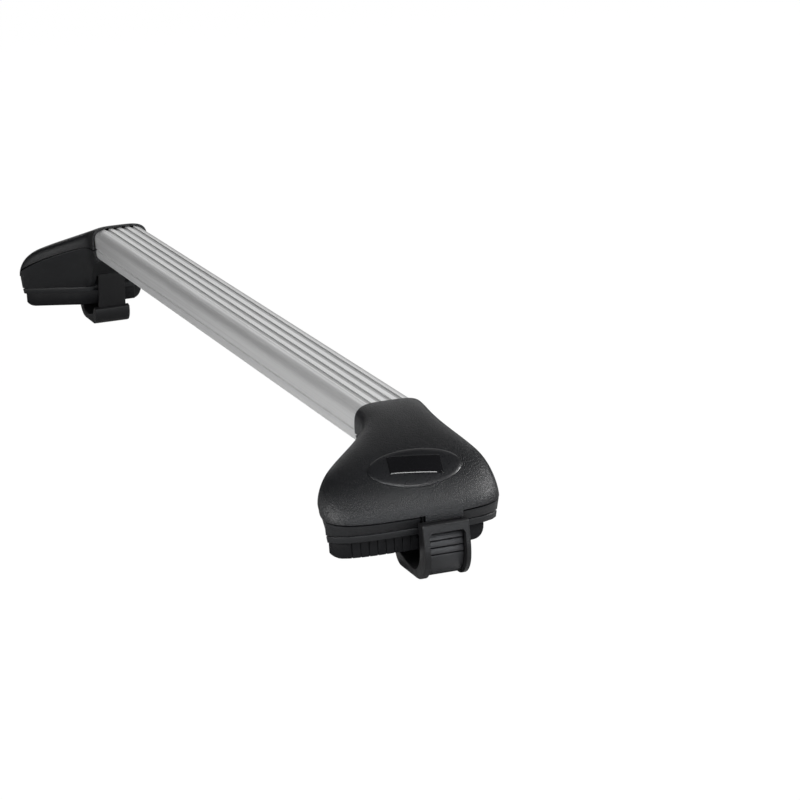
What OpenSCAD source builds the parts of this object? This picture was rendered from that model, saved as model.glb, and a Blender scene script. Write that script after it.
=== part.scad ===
// Roof rack crossbar: a ribbed aluminium bar on two handed feet that strap to the roof rails.
// X runs along the bar, Z points up, and the origin lies on the bar's top face at mid span.
// The -X foot is the mirror image of the +X foot, so every foot piece is drawn once.

/* [Bar] */
// Length of bar that shows between the mouths of the two feet
bar_span = 890; // [500:1:1200]
// Width of the bar over its side lobes
bar_w = 55.2; // [50:0.2:60]
// Height of the bar
bar_h = 32.8; // [30:0.2:36]
// Wall thickness of the extrusion
bar_wall = 2; // [1.6:0.1:2.4]
// Width of a top groove, and of the ridge beside it
groove_w = 4.57; // [4:0.01:4.8]
// Depth of the top grooves
groove_depth = 1.2; // [0.8:0.1:1.6]
// Depth of the line that runs along each side
side_notch = 2.4; // [1.5:0.1:2.8]
// Length of bar seated in each foot
bar_seat = 0.5; // [0.2:0.1:0.6]
// Length of the foot's spigot inside the bar
spigot_len = 60; // [40:1:90]

/* [Foot] */
// Length of the foot from mouth to nose
foot_len = 118; // [116:1:126]
// Reach of the long wing from the bar's centre line
wing_long = 94; // [88:1:104]
// Reach of the short wing from the bar's centre line
wing_short = 55.5; // [50:0.5:60]
// Depth of the nose parting line below the bar's top
nose_drop = 63.7; // [62.7:0.1:66]
// Height of the base's upper band
upper_band_h = 9.5; // [9:0.1:11]
// Height of the base's lower band
lower_band_h = 6.3; // [5.8:0.1:8]
// Height of the rubber pad
pad_h = 14.2; // [12:0.1:17]
// Pitch of the ribs round the pad
rib_pitch = 6.9; // [5:0.1:9]

/* [Cover] */
// Wall thickness of the cover
cover_wall = 2.2; // [1.8:0.1:2.6]
// Width of the tab over the strap
tab_w = 32; // [30:1:38]
// Drop of the tab below the parting line
tab_drop = 8.3; // [6:0.1:8.5]
// Length of the oval inlay
oval_w = 79; // [70:1:86]
// Height of the oval inlay, along the face
oval_h = 40; // [36:1:43]
// Length of the bare plate on the inlay
plate_w = 44; // [38:1:50]
// Height of the bare plate on the inlay
plate_h = 20; // [16:1:24]

/* [Strap and band] */
// Place of the strap's centre line beside the bar's
strap_y = -2.3; // [-3:0.1:0]
// Width of the toothed strap
strap_w = 30; // [26:1:32]
// Thickness of the strap without its teeth
strap_t = 3; // [2.5:0.1:3.4]
// Pitch of the strap's teeth
tooth_pitch = 5.7; // [4.5:0.1:7]
// Height of the strap's teeth
tooth_h = 1.4; // [1:0.1:1.6]
// Width of the band and its buckle
band_w = 39.5; // [37:0.5:46]
// Room for the roof rail between pad and band
rail_room = 16; // [13:0.5:20]

/* [Tensioner] */
// Diameter of the tension screw
screw_d = 8; // [6:1:8]
// Width across flats of its socket
socket_af = 6; // [5:0.5:6]
// Travel of the nut block
travel = 6; // [4:0.5:6.5]
// Diameter of the band's pin and the strap's pin
pin_d = 6; // [5:0.5:6]
// Diameter of the screw that holds the bar on its spigot
bar_screw_d = 4; // [3.5:0.5:5]

/* [Fits] */
// Clearance between pieces that must not touch
gap = 0.3; // [0.2:0.05:0.4]
// Radial clearance of a shaft in its hole
shaft_fit = 0.05; // [0.03:0.01:0.08]

/* [Hidden] */
$fn = 48;
eps = 0.01;
mouth_x = bar_span / 2;

// Mouth of the foot, worked out from the bar
mouth_half = bar_w / 2 + gap + cover_wall + 0.9;
mouth_top = gap + cover_wall + 0.5;
notch_z = -bar_h * 0.64;
rim_drop = -notch_z;

// Rims of the cover: they leave the mouth along the bar, then flare out to the wings
flare_start = 14;
left_end = foot_len - 27;
right_end = foot_len - 24;
crest_rise = 1.3;
crest_fall = 1.7;
crown = 2;

// Levels of the base and the pad
band_z = -(nose_drop + upper_band_h);
base_z = band_z - lower_band_h;
pad_z = base_z - pad_h;
parting = 1.4;

// Grid of the cover's skin
rows = 18;
tab_mid = strap_y + 3.8;

// Places of the tensioner, all from the foot's nose
screw_x = foot_len - 42;
eye_x = foot_len - 19;
ledge_z = -40.6;
ledge_t = 5;
nut_h = 12;
nut_top = ledge_z - ledge_t - gap;
eye_r = pin_d / 2 + 1.6;
eye_z = nut_top - eye_r;
washer_t = 1.6;
head_h = 8;
head_d = screw_d + 5;

// The band's pin sits level with the middle of the strap pin's travel
pivot_x = foot_len - 68;
pivot_z = eye_z - travel / 2;

// The loop of the band round the rail
loop_x = foot_len - 0.5;
loop_z = pad_z - rail_room;
loop_r = 20;
back_wall = 2.5;
strap_x = loop_x + back_wall + gap + strap_t / 2;

// Places a foot piece at one end of the bar: side is 1 for +X, -1 for -X
module at_foot(side) {
    if (side > 0) translate([mouth_x, 0, 0]) children();
    else mirror([1, 0, 0]) translate([mouth_x, 0, 0]) children();
}

// Places what lies on the strap's centre line
module on_strap() {
    translate([0, strap_y, 0]) children();
}

// Turns a profile drawn in X and Z, then extruded over width w, to lie about the XZ plane
module across(w, shift = 0) {
    translate([0, shift + w / 2, 0]) rotate([90, 0, 0]) linear_extrude(w) children();
}

// Smooth step from 0 to 1
function smooth(t) = let (c = max(0, min(1, t))) c * c * (3 - 2 * c);

// Ramp that starts softly at 0 and then follows t
function soft_ramp(t, r) = t / r > 20 ? t : r * ln(1 + exp(t / r));

// Corner list [x, y, radius] to an outline with rounded corners
function unit(v) = v / norm(v);
function rounded(c, steps = 6) = [
    for (i = [0 : len(c) - 1])
        let (
            p = [c[i][0], c[i][1]],
            a = unit([c[(i + len(c) - 1) % len(c)][0], c[(i + len(c) - 1) % len(c)][1]] - p),
            b = unit([c[(i + 1) % len(c)][0], c[(i + 1) % len(c)][1]] - p),
            half = acos(max(-1, min(1, a * b))) / 2,
            cut = c[i][2] / tan(half),
            mid = p + unit(a + b) * c[i][2] / sin(half),
            from = p + a * cut - mid,
            to = p + b * cut - mid,
            turn = atan2(from[0] * to[1] - from[1] * to[0], from * to)
        )
        each (c[i][2] <= 0 ? [p] : [
            for (k = [0 : steps])
                let (w = turn * k / steps)
                mid + [from[0] * cos(w) - from[1] * sin(w), from[0] * sin(w) + from[1] * cos(w)]
        ])
];

// Open path with rounded corners: the first and last corners keep radius 0
function path_side(pts, d) = [
    for (i = [0 : len(pts) - 1])
        let (
            t = unit(pts[min(i + 1, len(pts) - 1)] - pts[max(i - 1, 0)])
        )
        pts[i] + d * [-t[1], t[0]]
];
function reversed(list) = [for (i = [len(list) - 1 : -1 : 0]) list[i]];
function strip(pts, t) = concat(path_side(pts, t / 2), reversed(path_side(pts, -t / 2)));

// Section of the bar, looking along X: points are [y, z]
groove_pitch = 2 * groove_w;
top_edge = 3.5 * groove_w + 1.4;
shoulder_y = bar_w / 2 - top_edge;
shoulder_z = bar_h * 0.31;
notch_half = 1.1;
foot_y = bar_w / 2 - 3.6;

function half_section(g) = concat(
    // ridges and grooves from the centre outwards
    [
        [groove_w / 2 + g, g], [groove_w / 2 + g, -groove_depth + g],
        [groove_w * 1.5 - g, -groove_depth + g], [groove_w * 1.5 - g, g],
        [groove_w * 2.5 + g, g], [groove_w * 2.5 + g, -groove_depth + g],
        [groove_w * 3.5 - g, -groove_depth + g], [groove_w * 3.5 - g, g],
        [top_edge - 0.3, g]
    ],
    // rounded shoulder
    [
        for (a = [86 : -10 : 6])
            [top_edge + (shoulder_y + g) * cos(a), -shoulder_z + (shoulder_z - 0.5 + g) * sin(a)]
    ],
    // side line and lower lobe
    [
        [bar_w / 2 + g, -shoulder_z], [bar_w / 2 - 0.3 + g, notch_z + notch_half],
        [bar_w / 2 - side_notch + g, notch_z], [bar_w / 2 - 0.4 + g, notch_z - notch_half]
    ],
    [
        for (a = [0 : -15 : -90])
            [foot_y - 2 + (5.2 + g) * cos(a), -bar_h + 7 + (7 + g) * sin(a)]
    ]
);
function bar_section(g = 0) = let (h = half_section(g)) concat(h, reversed([for (p = h) [-p[0], p[1]]]));

// Chamber inside the bar: plain walls that clear the grooves and the side lines
chamber_y = bar_w / 2 - side_notch - bar_wall;
chamber_top = -groove_depth - bar_wall;
chamber_bottom = -bar_h + bar_wall;
module chamber_profile(g) {
    polygon(rounded([
        [-chamber_y + g, chamber_bottom + g, 4], [chamber_y - g, chamber_bottom + g, 4],
        [chamber_y - g, chamber_top - g, 6], [-chamber_y + g, chamber_top - g, 6]
    ]));
}

// Extrudes a [y, z] profile along X from x0 over length l
module along_bar(x0, l) {
    translate([x0, 0, 0]) rotate([90, 0, 90]) linear_extrude(l) children();
}

bar_len = bar_span + 2 * bar_seat;
bar_screw_x = -20;

module bar() {
    color("#c4c6c9") difference() {
        along_bar(-bar_len / 2, bar_len) polygon(bar_section());
        along_bar(-bar_len / 2 - 1, bar_len + 2) chamber_profile(0);
        for (side = [1, -1]) at_foot(side)
            translate([bar_screw_x, 0, -bar_h - 1])
                cylinder(d = bar_screw_d + 2 * shaft_fit, h = bar_wall + 2);
    }
}

// Cover skin

// Height of the skin along its centre line; t is how far inside the outer skin
function crest(x, t) =
    let (
        q = max(0, min(1, x / (foot_len - t))),
        top = mouth_top - t
    )
    top - (top + nose_drop) * (1 - pow(1 - pow(q, crest_rise), 1 / crest_fall));

function rim_z(x) = -rim_drop - (nose_drop - rim_drop) * smooth((x - flare_start) / (foot_len + 12 - flare_start));
function flare(x, reach, end) = mouth_half + (reach - mouth_half) * smooth((x - flare_start) / (end - flare_start));
function left_rim(u) = let (x = left_end * u) [x, -flare(x, wing_long, left_end), rim_z(x)];
function right_rim(u) = let (x = right_end * u) [x, flare(x, wing_short, right_end), rim_z(x)];

// Point of the skin: u runs from mouth to nose, q from the left rim (-1) to the right rim (1)
function skin(u, q, t = 0) =
    let (
        l = left_rim(u) + [0, t, 0],
        r = right_rim(u) - [0, t, 0],
        n = 4.2 - 0.4 * u,
        f = max(0, 1 - pow(abs(q), n)),
        rim = (l + r) / 2 + (r - l) / 2 * q,
        x = rim[0] + ((foot_len - t) * u - rim[0]) * pow(f, 1 / (1.6 + u)),
        nose = smooth((u - 0.7) / 0.3),
        top = crest(x, t) * (1 - nose) + crest((foot_len - t) * u, t) * nose - crown * q * q * smooth(2 * u) * (1 - nose)
    )
    [x, rim[1], rim[2] + (top - rim[2]) * pow(f, 1 / (4 + 3 * u))];

// Position on the skin above a plan point, by a few rounds of substitution
function skin_u(x, y, u, rounds) = rounds == 0 ? u :
    let (
        l = left_rim(u),
        r = right_rim(u),
        q = max(-0.95, min(0.95, (y - (l[1] + r[1]) / 2) / ((r[1] - l[1]) / 2))),
        f = 1 - pow(abs(q), 4.2 - 0.4 * u),
        rim = ((l[0] + r[0]) / 2 + (r[0] - l[0]) / 2 * q) / u,
        g = pow(f, 1 / (1.6 + u))
    )
    skin_u(x, y, x / (rim + (foot_len - rim) * g), rounds - 1);
function skin_z(x, y) =
    let (
        u = skin_u(x, y, x / foot_len, 6),
        l = left_rim(u),
        r = right_rim(u),
        q = (y - (l[1] + r[1]) / 2) / ((r[1] - l[1]) / 2)
    )
    skin(u, q)[2];

// Columns of the skin: closer together towards the rims, with a pair at each side of the tab
nose_mid = (wing_short - wing_long) / 2;
nose_half = (wing_short + wing_long) / 2;
tab_from = (tab_mid - tab_w / 2 - nose_mid) / nose_half;
tab_to = (tab_mid + tab_w / 2 - nose_mid) / nose_half;
tab_step = 0.002;
columns = concat(
    [for (k = [0 : 10]) sin(-90 + (90 + asin(tab_from - tab_step)) * k / 10)],
    [for (k = [0 : 4]) tab_from + tab_step + (tab_to - tab_from - 2 * tab_step) * k / 4],
    [for (k = [0 : 10]) sin(90 - (90 - asin(tab_to + tab_step)) * (10 - k) / 10)]
);
function on_tab(q) = q > tab_from && q < tab_to;

// The tab's lower edge runs down a little towards the short wing
function tab_low(q) = tab_drop - 1 + 2 * (q - tab_from) / (tab_to - tab_from);

// One row of the skin; the row past the nose is the edge, which hangs lower at the tab
lip = 1;
function skin_row(i, t) = [
    for (q = columns)
        i < rows ? skin(pow(i / (rows - 1), 0.8) * 0.9995, q, t)
        : skin(0.9995, q, t) - [0, 0, abs(q) == 1 ? eps : on_tab(q) ? tab_low(q) : lip]
];

// Closed shell between an outer and an inner grid of points with the same rows and columns
module grid_shell(outer, inner) {
    m = len(outer);
    n = len(outer[0]);
    points = concat([for (row = outer) each row], [for (row = inner) each row]);
    o = function (i, j) i * n + j;
    s = function (i, j) m * n + i * n + j;
    faces = concat(
        [for (i = [0 : m - 2], j = [0 : n - 2]) each [
            [o(i, j), o(i, j + 1), o(i + 1, j + 1)], [o(i, j), o(i + 1, j + 1), o(i + 1, j)],
            [s(i, j), s(i + 1, j + 1), s(i, j + 1)], [s(i, j), s(i + 1, j), s(i + 1, j + 1)]
        ]],
        [for (j = [0 : n - 2]) each [
            [o(0, j), s(0, j), s(0, j + 1)], [o(0, j), s(0, j + 1), o(0, j + 1)],
            [o(m - 1, j), s(m - 1, j + 1), s(m - 1, j)], [o(m - 1, j), o(m - 1, j + 1), s(m - 1, j + 1)]
        ]],
        [for (i = [0 : m - 2]) each [
            [o(i, 0), s(i + 1, 0), s(i, 0)], [o(i, 0), o(i + 1, 0), s(i + 1, 0)],
            [o(i, n - 1), s(i, n - 1), s(i + 1, n - 1)], [o(i, n - 1), s(i + 1, n - 1), o(i + 1, n - 1)]
        ]]
    );
    polyhedron(points, faces, convexity = 6);
}

module cover() {
    color("#26272a") grid_shell(
        [for (i = [0 : rows]) skin_row(i, 0)],
        [for (i = [0 : rows]) skin_row(i, cover_wall)]
    );
}

// Oval inlay: a shallow dome that follows the cover's face
oval_x = foot_len - 29;
oval_y = -11;
face_slope = 33;
inlay_rim = 1.3;
inlay_dome = 0.7;
function inlay_lift(r) = inlay_rim + inlay_dome * (1 - r * r);
function oval_point(r, a) = [
    oval_x + oval_h / 2 * cos(face_slope) * r * cos(a),
    oval_y + oval_w / 2 * r * sin(a)
];

// Disc of rings between a lower and an upper surface, given as lists of rings of points
module ring_dome(lower, upper) {
    m = len(lower);
    n = len(lower[0]);
    points = concat([for (row = lower) each row], [for (row = upper) each row]);
    b = function (i, j) i * n + j % n;
    t = function (i, j) m * n + i * n + j % n;
    faces = concat(
        [for (i = [0 : m - 2], j = [0 : n - 1]) each [
            [b(i, j), b(i, j + 1), b(i + 1, j + 1)], [b(i, j), b(i + 1, j + 1), b(i + 1, j)],
            [t(i, j), t(i + 1, j + 1), t(i, j + 1)], [t(i, j), t(i + 1, j), t(i + 1, j + 1)]
        ]],
        [for (j = [0 : n - 1]) each [
            [b(m - 1, j), b(m - 1, j + 1), t(m - 1, j + 1)], [b(m - 1, j), t(m - 1, j + 1), t(m - 1, j)]
        ]],
        [[for (j = [0 : n - 1]) b(0, n - 1 - j)], [for (j = [0 : n - 1]) t(0, j)]]
    );
    polyhedron(points, faces, convexity = 4);
}

oval_rings = [0.1, 0.4, 0.7, 0.92, 1];
oval_steps = 36;
module oval_inlay() {
    color("#1e1f21") ring_dome(
        [for (r = oval_rings) [for (j = [0 : oval_steps - 1])
            let (p = oval_point(r, 360 * j / oval_steps)) [p[0], p[1], skin_z(p[0], p[1]) + gap / 6]]],
        [for (r = oval_rings) [for (j = [0 : oval_steps - 1])
            let (
                p = oval_point(r, 360 * j / oval_steps),
                edge = r > 0.99 ? inlay_rim / 2 : 0
            )
            [p[0], p[1], skin_z(p[0], p[1]) + inlay_lift(r) - edge]]]
    );
}

// Bare plate on the inlay, as a grid that follows the inlay's dome
plate_t = 1.1;
plate_bevel = 1.6;
plate_turn = 8;
function inlay_top(x, y) =
    let (
        a = (x - oval_x) / (oval_h / 2 * cos(face_slope)),
        b = (y - oval_y) / (oval_w / 2)
    )
    skin_z(x, y) + inlay_lift(min(1, sqrt(a * a + b * b)));
function plate_grid(cut, lift) = [
    for (i = [-2 : 2]) [
        for (j = [-4 : 4])
            let (
                a = (plate_h / 2 - cut) * i / 2,
                b = (plate_w / 2 - cut) * j / 4,
                x = oval_x + (a * cos(plate_turn) + b * sin(plate_turn)) * cos(face_slope),
                y = oval_y + b * cos(plate_turn) - a * sin(plate_turn)
            )
            [x, y, inlay_top(x, y) + lift]
    ]
];
module plain_plate() {
    color("#0c0c0d") grid_shell(
        plate_grid(plate_bevel, plate_t + gap / 6),
        plate_grid(0, gap / 6)
    );
}

// Base

// Plan line of the base's foot on the left and on the right: the neck, then the wing
neck_half = bar_w / 2 - 0.6;
foot_line = foot_len - 59;
nose_inset = 4.5;
function under_y(x, reach, end) =
    neck_half - 4 * smooth(x / foot_line)
    + soft_ramp(x - foot_line, 3) * (reach - neck_half - 1) / (end + 2 - foot_line);
function under_z(x) = max(band_z, -bar_h - 2.7 - (-band_z - bar_h - 2.7) * pow(x / foot_line, 1.6));

// Lower end of the base's flank for a rim position u; it lies a little further out than the rim
function left_foot(u) =
    let (x = (left_end + 2) * u + 12 * smooth(u * 2) * (1 - smooth(u * 2 - 1)))
    [x, -under_y(x, wing_long, left_end), under_z(x)];
function right_foot(u) =
    let (x = (right_end + 2) * u + 12 * smooth(u * 2) * (1 - smooth(u * 2 - 1)))
    [x, under_y(x, wing_short, right_end), under_z(x)];

flank_rows = 16;
nose_cols = 14;
nose_q = [for (k = [1 : nose_cols - 1]) sin(-90 + 180 * k / nose_cols)];

// The rim of the base, from the mouth round the nose and back, in by d and down by h
function base_rim(d, h) = concat(
    [for (i = [0 : flank_rows]) left_rim(i / flank_rows) + [0, d, -h]],
    [for (q = nose_q) let (p = skin(1, q, d)) [p[0], p[1], p[2] - h]],
    [for (i = [flank_rows : -1 : 0]) right_rim(i / flank_rows) + [0, -d, -h]]
);
base_foot = concat(
    [for (i = [0 : flank_rows]) left_foot(i / flank_rows)],
    [for (q = nose_q) let (p = skin(1, q, 0.6)) [p[0] - nose_inset, p[1], band_z]],
    [for (i = [flank_rows : -1 : 0]) right_foot(i / flank_rows)]
);
function blend(a, b, f) = [for (i = [0 : len(a) - 1]) a[i] + (b[i] - a[i]) * f];

// Stack of open loops that start and end at the mouth, closed into one solid
module loop_stack(loops) {
    m = len(loops);
    n = len(loops[0]);
    half = floor((n - 1) / 2);
    points = [for (l = loops) each l];
    p = function (i, j) i * n + j;
    // wall between two loops, then the top, the bottom and the end at the mouth
    faces = concat(
        [for (i = [0 : m - 2], j = [0 : n - 2]) each [
            [p(i, j), p(i + 1, j + 1), p(i + 1, j)], [p(i, j), p(i, j + 1), p(i + 1, j + 1)]
        ]],
        [for (k = [0 : half - 1]) each [
            [p(0, k), p(0, n - 2 - k), p(0, k + 1)],
            [p(m - 1, k), p(m - 1, k + 1), p(m - 1, n - 2 - k)]
        ]],
        [for (k = [0 : half - 1]) each [
            [p(0, k), p(0, n - 1 - k), p(0, n - 2 - k)],
            [p(m - 1, k), p(m - 1, n - 2 - k), p(m - 1, n - 1 - k)]
        ]],
        [for (i = [0 : m - 2]) each [
            [p(i, 0), p(i + 1, 0), p(i + 1, n - 1)], [p(i, 0), p(i + 1, n - 1), p(i, n - 1)]
        ]]
    );
    polyhedron(points, [for (f = faces) if (len(f) > 3 || (f[0] != f[1] && f[1] != f[2] && f[2] != f[0])) f]);
}

module flank_body() {
    rim = base_rim(0.3, parting + 0.2);
    foot = base_foot;
    loop_stack([
        base_rim(cover_wall + 3 * gap, gap), base_rim(cover_wall + 3 * gap, parting),
        rim, blend(rim, foot, 0.35), blend(rim, foot, 0.7), foot
    ]);
}

// Plan outline of the base where it meets the pad, in by d at the nose and by inner at the hidden side
plan_start = foot_len - 55;
function plan(d, inner) =
    let (
        loop = concat(
            [[plan_start, -under_y(plan_start, wing_long, left_end)]],
            [for (p = base_foot) if (p[0] > plan_start + 2) [p[0], p[1]]],
            [[plan_start, under_y(plan_start, wing_short, right_end)]]
        ),
        n = len(loop)
    )
    [
        for (i = [0 : n - 1])
            let (
                t = unit(loop[(i + 1) % n] - loop[(i + n - 1) % n]),
                share = smooth((t[1] + 0.6) / 0.6)
            )
            loop[i] + (d * share + inner * (1 - share)) * [-t[1], t[0]]
    ];

// Room for the strap at the nose and for the band at the neck
notch_half_w = strap_w / 2 + 1.5;
tower_half = 21;
cavity_half = 14.5 + gap;
nut_from = screw_x - 8;
nut_to = screw_x + 11;

module spigot() {
    along_bar(-spigot_len, spigot_len + bar_seat + 1) chamber_profile(gap);
    // foot of the spigot rests on the bar's inner face
    translate([-spigot_len, -8, chamber_bottom]) cube([spigot_len + bar_seat, 16, 2]);
    // shoulder behind the bar's end
    along_bar(bar_seat, 18) polygon(rounded([
        [-neck_half + 1, -rim_drop - 8, 0], [neck_half - 1, -rim_drop - 8, 0],
        [neck_half - 4, -6, 8], [-neck_half + 4, -6, 8]
    ]));
}

module tower() {
    translate([screw_x - 12, -tower_half, -nose_drop])
        cube([30, 2 * tower_half, nose_drop + ledge_z]);
}

module tensioner_room() {
    // flat seat of the thrust washer
    translate([screw_x - 13, -tower_half, ledge_z]) cube([32, 2 * tower_half, 40]);
    // guide of the nut block, closed above by the ledge
    translate([nut_from - gap, -cavity_half, nut_top - nut_h - travel - 6])
        cube([foot_len, 2 * cavity_half, nut_h + travel + 6 + gap]);
    // bore of the tension screw
    translate([screw_x, 0, ledge_z - ledge_t - 1])
        cylinder(d = screw_d + 2 * shaft_fit, h = ledge_t + 2);
    // way out of the strap, open below
    translate([nut_to + 6, -notch_half_w + 0.3, base_z - 1])
        cube([foot_len, 2 * notch_half_w + 3.4, -base_z + ledge_z]);
    // slot of the band, open below and to the inside
    translate([pivot_x - 8, -notch_half_w, base_z - 1])
        cube([plan_start - pivot_x + 9, 2 * notch_half_w, -base_z + 1 + pivot_z - eye_r - 1]);
    translate([pivot_x, 0, pivot_z]) rotate([90, 0, 0])
        cylinder(r = eye_r + 1, h = strap_w + 2 * gap, center = true);
    translate([pivot_x - 8, -strap_w / 2 - gap, pivot_z - eye_r - 4])
        cube([16, strap_w + 2 * gap, eye_r + 4]);
    // bore of the band's pin, open on the hidden side
    translate([pivot_x, -neck_half + 3, pivot_z]) rotate([-90, 0, 0])
        cylinder(d = pin_d + 2 * shaft_fit, h = 2 * neck_half + 20);
}

nick_w = 3.7;
module base() {
    color("#303134") difference() {
        union() {
            flank_body();
            on_strap() tower();
            spigot();
            translate([0, 0, band_z - 1]) linear_extrude(2) polygon(plan(2.2, 1.2));
            hull() {
                translate([0, 0, band_z - 2]) linear_extrude(1) polygon(plan(0.4, 0.2));
                translate([0, 0, base_z]) linear_extrude(1) polygon(plan(1.2, 0.4));
            }
        }
        // seat for the end of the bar
        along_bar(-1, bar_seat + 1) difference() {
            polygon(bar_section(gap));
            chamber_profile(gap);
        }
        // clear of the bar's side lines at the mouth
        translate([-1, -mouth_half - 1, -rim_drop - 2.5])
            cube([bar_seat + 1, 2 * mouth_half + 2, rim_drop + 2]);
        // clear of the cover's lip at its two front corners
        for (y = [-wing_long, wing_short - nick_w])
            translate([left_end + 5.5, y, skin(1, nose_q[0])[2] - 0.4]) cube([5, nick_w, 9]);
        // hole for the screw that holds the bar
        translate([bar_screw_x, 0, -bar_h]) cylinder(d = bar_screw_d + 2 * shaft_fit, h = 12);
        on_strap() tensioner_room();
    }
}

// Rubber pad
pad_right = wing_short - 15.5;
pad_left = wing_long - 4;
pad_in = 6.5;
rib_gap = 0.9;
rib_depth = 1.4;
module rubber_pad() {
    color("#1a1a1b") difference() {
        intersection() {
            translate([0, 0, pad_z]) linear_extrude(pad_h) polygon(plan(pad_in, 0.8));
            along_bar(0, foot_len + 10) polygon(rounded([
                [-pad_left, base_z, 0], [-pad_left, pad_z, 10], [pad_right, pad_z, 10], [pad_right, base_z, 0]
            ]));
        }
        // room for the strap when it is drawn tight
        on_strap() translate([foot_len - 14, -notch_half_w, base_z - 4.5])
            cube([20, 2 * notch_half_w, 6]);
        // grooves between the ribs along the nose side
        translate([0, 0, pad_z - 1]) linear_extrude(pad_h - 1) intersection() {
            difference() {
                polygon(plan(0, 0));
                polygon(plan(pad_in + rib_depth, 0.8));
            }
            for (y = [-pad_left + 17 : rib_pitch : pad_right - 14])
                translate([foot_len - 24, y]) square([30, rib_gap]);
        }
    }
}

// Tensioner
module tension_screw() {
    head_z = ledge_z + washer_t + 0.1;
    color("#b9bbbe") translate([screw_x, 0, head_z]) difference() {
        union() {
            cylinder(d = head_d, h = head_h - 0.8);
            cylinder(d = head_d - 1.6, h = head_h);
            translate([0, 0, -29]) cylinder(d = screw_d, h = 29.5);
        }
        translate([0, 0, head_h - 4.5]) cylinder(d = socket_af / cos(30), h = 5, $fn = 6);
    }
}

module thrust_washer() {
    color("#a8abae") translate([screw_x, 0, ledge_z]) difference() {
        cylinder(d = head_d + 4, h = washer_t);
        translate([0, 0, -1]) cylinder(d = screw_d + 2 * gap, h = washer_t + 2);
    }
}

tongue_half = 5;
module nut_block() {
    color("#8f9396") difference() {
        union() {
            translate([nut_from, -cavity_half + gap, nut_top - nut_h])
                cube([nut_to - nut_from, 2 * (cavity_half - gap), nut_h]);
            translate([nut_to - 1, -tongue_half, eye_z - eye_r])
                cube([eye_x - nut_to + 1, 2 * tongue_half, 2 * eye_r]);
            translate([eye_x, 0, eye_z]) rotate([90, 0, 0])
                cylinder(r = eye_r, h = 2 * tongue_half, center = true);
        }
        translate([screw_x, 0, nut_top - nut_h - 1]) cylinder(d = screw_d + 2 * shaft_fit, h = nut_h + 2);
        translate([eye_x, 0, eye_z]) rotate([90, 0, 0])
            cylinder(d = pin_d + 2 * shaft_fit, h = 3 * tongue_half, center = true);
    }
}

module strap_pin() {
    color("#c9cbce") translate([eye_x, 0, eye_z]) rotate([90, 0, 0])
        cylinder(d = pin_d, h = strap_w - 1, center = true);
}

// Strap: eye, bend out under the tab, straight run behind the buckle's bar, tail round the corner
strap_bend_z = -(nose_drop + 9);
strap_run_z = pad_z + 10;
strap_path = rounded([
    [eye_x, eye_z, 0],
    [eye_x + 11, strap_bend_z, 7],
    [strap_x, strap_run_z + 4, 7],
    [strap_x, loop_z + loop_r, 0]
]);
tail_turn = 50;
tail_r = loop_r + back_wall + gap + strap_t / 2;
strap_tail = [
    for (a = [5 : 5 : tail_turn])
        [loop_x - loop_r + tail_r * cos(a), loop_z + loop_r - tail_r * sin(a)]
];
teeth_from = pad_z + 16;
teeth_straight = teeth_from - loop_z - loop_r;
teeth_count = 5;

// Places a tooth at distance s from the first one: down the straight run, then round the tail
module at_tooth(s) {
    if (s <= teeth_straight) translate([strap_x + strap_t / 2, teeth_from - s]) children();
    else translate([loop_x - loop_r, loop_z + loop_r]) rotate(-(s - teeth_straight) / tail_r * 180 / PI)
        translate([tail_r + strap_t / 2, 0]) children();
}

module toothed_strap() {
    color("#222325") difference() {
        union() {
            across(strap_w) polygon(strip(concat(strap_path, strap_tail), strap_t));
            translate([eye_x, 0, eye_z]) rotate([90, 0, 0])
                cylinder(r = eye_r, h = strap_w, center = true);
            across(strap_w - 1) for (k = [0 : teeth_count - 1])
                at_tooth(k * tooth_pitch)
                    polygon([[-0.5, 0], [tooth_h, -tooth_pitch * 0.2], [tooth_h, -tooth_pitch * 0.4],
                             [0, -tooth_pitch * 0.95], [-0.5, -tooth_pitch * 0.95]]);
        }
        translate([eye_x, 0, eye_z]) rotate([90, 0, 0])
            cylinder(d = pin_d + 2 * gap, h = strap_w + 2, center = true);
        translate([eye_x - eye_r - 1, -tongue_half - gap, eye_z - eye_r - gap - 1])
            cube([2 * eye_r + 2, 2 * (tongue_half + gap), 2 * eye_r + 2 * gap + 2]);
    }
}

// Band: plate from the pin, wide loop under the rail, and the buckle's window at the nose
band_step = 11;
plate_x = pivot_x + 9;
band_t = 4;
module band_plate() {
    across(strap_w) polygon(strip(rounded([
        [pivot_x, pivot_z, 0], [pivot_x + 1, pivot_z - 10, 12], [plate_x, loop_z + band_step, 0]
    ]), band_t));
    translate([pivot_x, 0, pivot_z]) rotate([90, 0, 0])
        cylinder(r = eye_r, h = strap_w, center = true);
}

// Side view of the loop: inner line, top of the buckle, front, and the underside
buckle_x = loop_x + back_wall + 2 * gap + strap_t + tooth_h;
buckle_t = 4;
bar_top_z = -(nose_drop + 4.5);
bar_t = 9;
back_top_z = -(nose_drop + 19.3);
module band_side() {
    polygon(rounded([
        [plate_x - 3, loop_z + band_step + 2, 2],
        [plate_x + 2, loop_z + band_step + 2, 2],
        [plate_x + 10, loop_z + 4, 6],
        [loop_x, loop_z - 1, loop_r],
        [loop_x, bar_top_z - 14, 1],
        [buckle_x - 2, bar_top_z, 2],
        [buckle_x + buckle_t - 1, bar_top_z, 2.5],
        [buckle_x + buckle_t + 1, pad_z, 30],
        [buckle_x - 2, loop_z - 7, 20],
        [loop_x - 12, loop_z - 8, 16],
        [loop_x - 45, loop_z - 4, 30],
        [plate_x - 1, loop_z + 4, 8]
    ], 8));
}

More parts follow.
